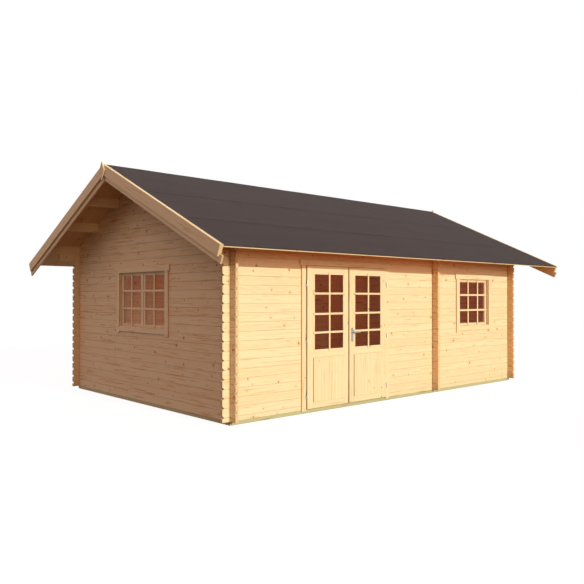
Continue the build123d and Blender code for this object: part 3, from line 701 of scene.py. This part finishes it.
bar_levels, bar_width, bar_rise = (1.070, 1.3215, 1.597), 0.029, 0.010
panel_bottom, panel_top, panel_rise, panel_boards, tongue = 0.143, 0.735, 0.014, 9, 0.004
outer_bead, inner_bead, panel_bead = 0.030, 0.016, 0.012
inner_set, panel_set = 0.004, 0.002
for side in ("left", "right"):
    left, right, bottom, top, back, face = spread(front, f"{side}_door_leaf")
    *pane, pane_back, pane_face = spread(front, f"{side}_door_glass")
    pane_left, pane_right, pane_bottom, pane_top = pane
    frame_face = face - panel_rise
    frame_boards = [
        (left, pane_left, bottom, top, back, frame_face),
        (pane_right, right, bottom, top, back, frame_face),
        (pane_left, pane_right, bottom, panel_bottom, back, frame_face),
        (pane_left, pane_right, panel_top, pane_bottom, back, frame_face),
        (pane_left, pane_right, pane_top, top, back, frame_face),
    ]
    edges = np.linspace(pane_left, pane_right, panel_boards + 1)
    panel = [
        (near, far, panel_bottom, panel_top, frame_face - tongue, face)
        for near, far in zip(edges, edges[1:])
    ]
    outer = beads(*pane, outer_bead, pane_face + bedding, frame_face)
    inner = beads(*pane, inner_bead, back + inner_set, pane_back - bedding)
    opening = (pane_left, pane_right, panel_bottom, panel_top)
    panel_beads = beads(*opening, panel_bead, back + panel_set, frame_face - tongue)
    middle = (pane_left + pane_right) / 2
    bar_face = frame_face + bar_rise
    bars = grid(*pane, [middle], bar_levels, pane_face + bedding, bar_face, bar_width)
    shapes = [
        members(front, frame_boards),
        members(front, panel, board_easing),
        members(front, outer + inner + panel_beads, bead_easing),
        members(front, bars, bar_easing),
    ]
    body = f"{side}_door"
    piece(f"{side}_leaf_joinery", shapes, joinery, body, [f"{side}_door_leaf"])


# ---------------------------------------------------------------------------
# Cover strip. A planed spruce strip screwed to the meeting edge of the right leaf, beside the gap
# between the leaves, with its outer edges well rounded.

strip = [members(front, [spread(front, "door_cover_strip")], easing=0.006)]
piece("cover_strip", strip, joinery, "right_door", ["door_cover_strip"])


# ---------------------------------------------------------------------------
# Glass. Single clear panes, 4 mm, bedded behind the beads of the leaves and sashes. They mirror
# little when seen straight on, and more the further aslant.

glass, tree = fresh("clear glass")
tree.nodes.remove(tree.nodes["Principled BSDF"])
clear = node(tree, "BsdfTransparent", {"Color": (0.97, 0.97, 0.965, 1)})
gloss = node(tree, "BsdfGlossy", {"Color": (1, 1, 1, 1), "Roughness": 0.02})
aslant = maths(tree, "POWER", node(tree, "LayerWeight", {"Blend": 0.5}).outputs["Facing"], 5.0)
shine = maths(tree, "MULTIPLY_ADD", aslant, 0.20, 0.007)
pane = node(tree, "MixShader", {0: shine, 1: clear.outputs[0], 2: gloss.outputs[0]})
tree.links.new(pane.outputs[0], tree.nodes["Material Output"].inputs["Surface"])
dress(glass, "left_door_glass", "right_door_glass", "front_window_glass", "gable_window_glass")


# ---------------------------------------------------------------------------
# Windows. One sash in the front wall, two in the left gable, set back in a frame that fills the
# sawn opening, all planed spruce. The glazing grid is planted over the sash, and casing boards
# cover the frame.

def window(wall, name, stile, count):
    """Frame, sashes, beads, grids and casing of one window, from the boxes of its CAD nodes. The
    sashes share the width evenly, and so do the panes of each sash, in three rows of them."""
    frame_thick, sash_gap, rail, bead, bead_set = 0.020, 0.0006, 0.033, 0.012, 0.002
    bar, planted_bar, sunk, proud = 0.029, 0.031, 0.001, 0.010
    cover, cover_rise = 0.034, 0.009
    strip_easing, bar_easing = 0.0015, 0.003
    left, right, bottom, top, back, face = spread(wall, f"{name}_window_frame")
    boards = beads(left, right, bottom, top, frame_thick, back, face)
    boards = [members(wall, boards, strip_easing)]
    node_name = f"{name}_window_frame"
    piece(f"{name}_frame_boards", boards, joinery, stands_for=[node_name])

    left, right, bottom, top, back, face = spread(wall, f"{name}_window_sash")
    pane_back, pane_face = spread(wall, f"{name}_window_glass")[4:]
    edges = np.linspace(left, right, count + 1)
    boards, bars, strips = [], [], []
    for near, far in zip(edges, edges[1:]):
        near, far = near + sash_gap, far - sash_gap
        boards += [
            (near, near + stile, bottom, top, back, face),
            (far - stile, far, bottom, top, back, face),
            (near + stile, far - stile, bottom, bottom + rail, back, face),
            (near + stile, far - stile, top - rail, top, back, face),
        ]
        inside = (near + stile, far - stile, bottom + rail, top - rail)
        strips += beads(*inside, bead, back + bead_set, pane_back - bedding)
        uprights = np.linspace(near, far, 4 - count + 1)[1:-1]
        levels = bottom + (top - bottom) * np.array([1, 2]) / 3
        outside = (near, far, bottom, top)
        bars += grid(*outside, uprights, levels, face - sunk, face + proud, planted_bar)
        strips += grid(*inside, uprights, levels, pane_face + bedding, face, bar)
    if count > 1:
        seam = edges[1]
        strips.append((seam - cover / 2, seam + cover / 2, bottom, top, face, face + cover_rise))
    shapes = [
        members(wall, boards),
        members(wall, strips, strip_easing),
        members(wall, bars, bar_easing),
    ]
    node_name = f"{name}_window_sash"
    piece(f"{name}_sash_joinery", shapes, joinery, stands_for=[node_name])

    node_name = f"{name}_window_casing"
    boards, screws = casing(wall, node_name, side=0.088, head=0.086, foot=0.076, tail=0.030)
    boards = [members(wall, boards, casing_easing)]
    piece(f"{name}_casing_boards", boards, joinery, stands_for=[node_name])
    return screws


front_screws = window(front, "front", stile=0.056, count=1)
gable_screws = window(left_gable, "gable", stile=0.062, count=2)


# ---------------------------------------------------------------------------
# Hinges, plates and lever. Zinc plated barrel hinges on the casing and the leaves; brushed steel
# plates clamp the lock of the right leaf, and a bent round bar makes the lever on each side.

def metal(name, tone, rough, brushed):
    """Metal with faint drawn lines: fine noise in the roughness and colour."""
    material, tree = fresh(name)
    here = node(tree, "TexCoord").outputs["Object"]
    lines = noise(tree, scaled(tree, here, brushed), 3.0)
    surface = tree.nodes["Principled BSDF"]
    dull = tuple(0.72 * part for part in tone)
    colour = tinted(tree, eased(tree, lines, 0.3, 0.7), (*tone, 1), (*dull, 1))
    tree.links.new(colour, surface.inputs["Base Color"])
    roughness = eased(tree, lines, 0.2, 0.8, rough - 0.08, rough + 0.08)
    tree.links.new(roughness, surface.inputs["Roughness"])
    surface.inputs["Metallic"].default_value = 1.0
    return material


zinc = metal("zinc plate", (0.74, 0.65, 0.52), rough=0.42, brushed=(300, 300, 300))
steel = metal("brushed steel", (0.40, 0.38, 0.35), rough=0.34, brushed=(900, 900, 60))
dress(zinc, "frame_hinge_halves", "left_door_hinge_halves", "right_door_hinge_halves")
dress(steel, "handle_plates")


def rods(path, radius):
    """Round bar along a path: a circle of twenty points, square to the path at each point."""
    ahead = np.gradient(path, axis=0)
    ahead /= np.linalg.norm(ahead, axis=1, keepdims=True)
    out = np.broadcast_to((0.0, 0.0, 1.0), ahead.shape)
    beside = np.cross(ahead, out)
    turn = np.linspace(0, 2 * np.pi, 20, endpoint=False)[:, None]
    radius = np.broadcast_to(radius, len(path))[:, None, None]
    rings = path[:, None] + radius * (np.cos(turn) * out[:, None] + np.sin(turn) * beside[:, None])
    points, faces = carried(rings)
    return points, faces, points, np.zeros(len(points))


bend, sweep = 0.016, np.linspace(0, np.pi / 2, 9)
neck_start, neck_end, past_bend, before_tip, tip_round = 0.0004, 0.012, 0.008, 0.004, 0.0015
rose_radius, rose_rise = (0.0135, 0.0135, 0.0115), (-0.0002, 0.0035, 0.005)
lever_low, lever_high = straight("door_lever")
plate_low, plate_high = straight("handle_plates")
axis = (lever_high[2] + lever_low[2]) / 2
grip = (lever_high[2] - lever_low[2]) / 2
post = lever_low[0] + grip
reach = lever_high[0]
bars = []
for sign, tip, plate in ((-1, lever_low[1], plate_low[1]), (1, lever_high[1], plate_high[1])):
    # Seen from above: straight out of the plate, a quarter turn, and along to a rounded tip.
    line = tip - sign * grip
    neck = np.array([(post, plate + sign * neck_start), (post, plate + sign * neck_end)])
    corner_x = post + bend - bend * np.cos(sweep)
    corner_y = line - sign * bend + sign * bend * np.sin(sweep)
    run_x = np.linspace(post + bend + past_bend, reach - before_tip, 6)
    run = np.stack([run_x, np.full_like(run_x, line)], -1)
    tips = np.array([(reach - tip_round, line), (reach, line)])
    flat = np.vstack([neck, np.stack([corner_x, corner_y], -1), run, tips])
    path = np.stack([flat[:, 0], flat[:, 1], np.full(len(flat), axis)], -1)
    size = np.full(len(path), grip)
    size[:2] = grip * 0.98
    size[-2:] = grip * np.array([0.86, 0.55])
    bars.append(rods(path, size))
    rose = np.array([(post, plate + sign * rise, axis) for rise in rose_rise])
    bars.append(rods(rose, rose_radius))
piece("lever_bars", bars, steel, "lever", ["door_lever"], smooth=True)


# ---------------------------------------------------------------------------
# Screws. Zinc plated countersunk screws in the casings, and in pairs along the barge boards, with
# their heads almost level with the wood.

def heads(wall, spots, radius, rise):
    """Screw heads. A circle narrows over four stations to a low dome that caps it off flat."""
    spots = np.array(spots, float)
    turn = np.linspace(0, 2 * np.pi, 12, endpoint=False)
    narrow = np.array([1.0, 1.0, 0.8, 0.45]) * radius
    out = np.array([-0.0005, 0.35, 0.8, 1.0]) * rise
    rings = np.stack([
        np.outer(narrow, np.cos(turn)),
        np.outer(narrow, np.sin(turn)),
        np.broadcast_to(out[:, None], (len(out), len(turn))),
    ], -1)
    points = ((spots[:, None, None] + rings) @ wall).reshape(-1, 3)
    each = len(out) * len(turn)
    faces = carried(rings)[1] + each * np.arange(len(spots))[:, None, None]
    return points, faces.reshape(-1, 4), points, np.zeros(len(points))


head_radius, casing_rise, barge_rise = 0.0038, 0.0008, 0.0006
casing_screws = [
    heads(front, door_screws + front_screws, head_radius, casing_rise),
    heads(left_gable, gable_screws, head_radius, casing_rise),
]
piece("casing_screws", casing_screws, zinc, smooth=True)

barge_low, barge_high = straight("front_barge_boards")
right_gable = left_gable * np.array([-1, 1, -1])[:, None]
first_pair, last_pair, pair_step, pair_heights = 0.22, 2.9, 0.66, (-0.012, -0.085)
down_slope = np.repeat(np.arange(first_pair, last_pair, pair_step), 2)
above_boards = np.tile(pair_heights, len(down_slope) // 2)
barge_screws = []
for wall, x in ((left_gable, barge_low[0]), (right_gable, barge_high[0])):
    spots = np.concatenate([on_slope(side, down_slope, above_boards, x) for side in (-1, 1)])
    barge_screws.append(heads(wall, spots @ wall.T, head_radius, barge_rise))
piece("barge_screws", barge_screws, zinc, smooth=True)


# ---------------------------------------------------------------------------
# View and light. Low sun from straight in front with a wide soft glow beside it, a weak glow and
# soft sky from the left, more sky from behind, warm light off the ground in front, a warm lamp in
# each room, and a pale floor.

def seen(tree):
    """1 for rays straight from the camera and for those mirrored or let through, 0 for light."""
    path = node(tree, "LightPath").outputs
    mirrored = maths(tree, "MAXIMUM", path["Is Glossy Ray"], path["Is Transmission Ray"])
    return maths(tree, "MAXIMUM", path["Is Camera Ray"], mirrored)


scene = bpy.context.scene
scene.view_settings.view_transform = "Standard"
world = bpy.data.worlds.new("sky")
scene.world = world
world.use_nodes = True
tree = world.node_tree
backdrop = tree.nodes["Background"]
sky, white = (0.335, 0.242, 0.238, 1), (1, 1, 1, 1)
tree.links.new(tinted(tree, seen(tree), sky, white), backdrop.inputs["Color"])

for name, energy, colour, spread_angle, lift, turn in (
    ("sun", 2.75, (0.80, 1.0, 1.0), 1.5, 15, 3),
    ("low_glow", 1.10, (0.92, 0.84, 0.73), 20, 5, 13),
    ("left_glow", 0.21, (1.0, 0.70, 0.50), 24, 4, -28),
    ("side_sky", 0.59, (1.0, 0.85, 1.00), 70, 45, -84),
    ("back_sky", 1.20, (1.0, 0.93, 0.88), 30, 14, 148),
):
    lamp = bpy.data.lights.new(name, "SUN")
    lamp.energy = energy
    lamp.angle = math.radians(spread_angle)
    lamp.color = colour
    sun = bpy.data.objects.new(name, lamp)
    scene.collection.objects.link(sun)
    sun.rotation_euler = (math.radians(90 - lift), 0, math.radians(turn))

lamp = bpy.data.lights.new("front_bounce", "AREA")
lamp.shape = "RECTANGLE"
lamp.size, lamp.size_y = 6.4, 3.6
lamp.energy = 31
lamp.color = (1.0, 0.19, 0.03)
bounce = bpy.data.objects.new("front_bounce", lamp)
scene.collection.objects.link(bounce)
bounce.location = (0.0, -4.15, 0.02)
bounce.rotation_euler = (math.radians(180), 0, 0)
bounce.visible_camera = bounce.visible_glossy = bounce.visible_transmission = False

for name, place, energy in (
    ("door_room_light", (-1.3, 0.4, 2.2), 12.0),
    ("side_room_light", (2.1, 0.0, 2.2), 14.0),
):
    lamp = bpy.data.lights.new(name, "POINT")
    lamp.energy = energy
    lamp.color = (1.0, 0.36, 0.12)
    lamp.shadow_soft_size = 0.5
    fill = bpy.data.objects.new(name, lamp)
    scene.collection.objects.link(fill)
    fill.location = place
    fill.visible_glossy = False

# The floor gives little light of its own back; where the camera sees it, it glows nearly white and
# still takes the cabin's shadow.
half_width = 60
square = np.array([(-1, -1, 0), (1, -1, 0), (1, 1, 0), (-1, 1, 0)]) * half_width
sheet = bpy.data.meshes.new("floor")
sheet.from_pydata(square.tolist(), [], [(0, 1, 2, 3)])
ground = bpy.data.objects.new("pale_ground", sheet)
scene.collection.objects.link(ground)
pale, tree = fresh("pale ground")
tree.nodes.remove(tree.nodes["Principled BSDF"])
dull = node(tree, "BsdfDiffuse", {"Color": (0.03, 0.022, 0.018, 1)})
shaded = node(tree, "BsdfDiffuse", {"Color": (0.12, 0.12, 0.12, 1)})
glow = node(tree, "Emission", {"Color": white, "Strength": 0.93})
both = node(tree, "AddShader", {0: shaded.outputs[0], 1: glow.outputs[0]})
chosen = node(tree, "MixShader", {0: seen(tree), 1: dull.outputs[0], 2: both.outputs[0]})
tree.links.new(chosen.outputs[0], tree.nodes["Material Output"].inputs["Surface"])
pale.cycles.emission_sampling = "NONE"
sheet.materials.append(pale)

lens = bpy.data.cameras.new("camera")
lens.lens, lens.sensor_width = 40.06, 36.0
lens.clip_end = 200
camera = bpy.data.objects.new("camera", lens)
scene.collection.objects.link(camera)
camera.location = (-7.8849, -8.4910, 1.5578)
camera.rotation_euler = (math.radians(90.391), 0, math.radians(-41.840))
scene.camera = camera
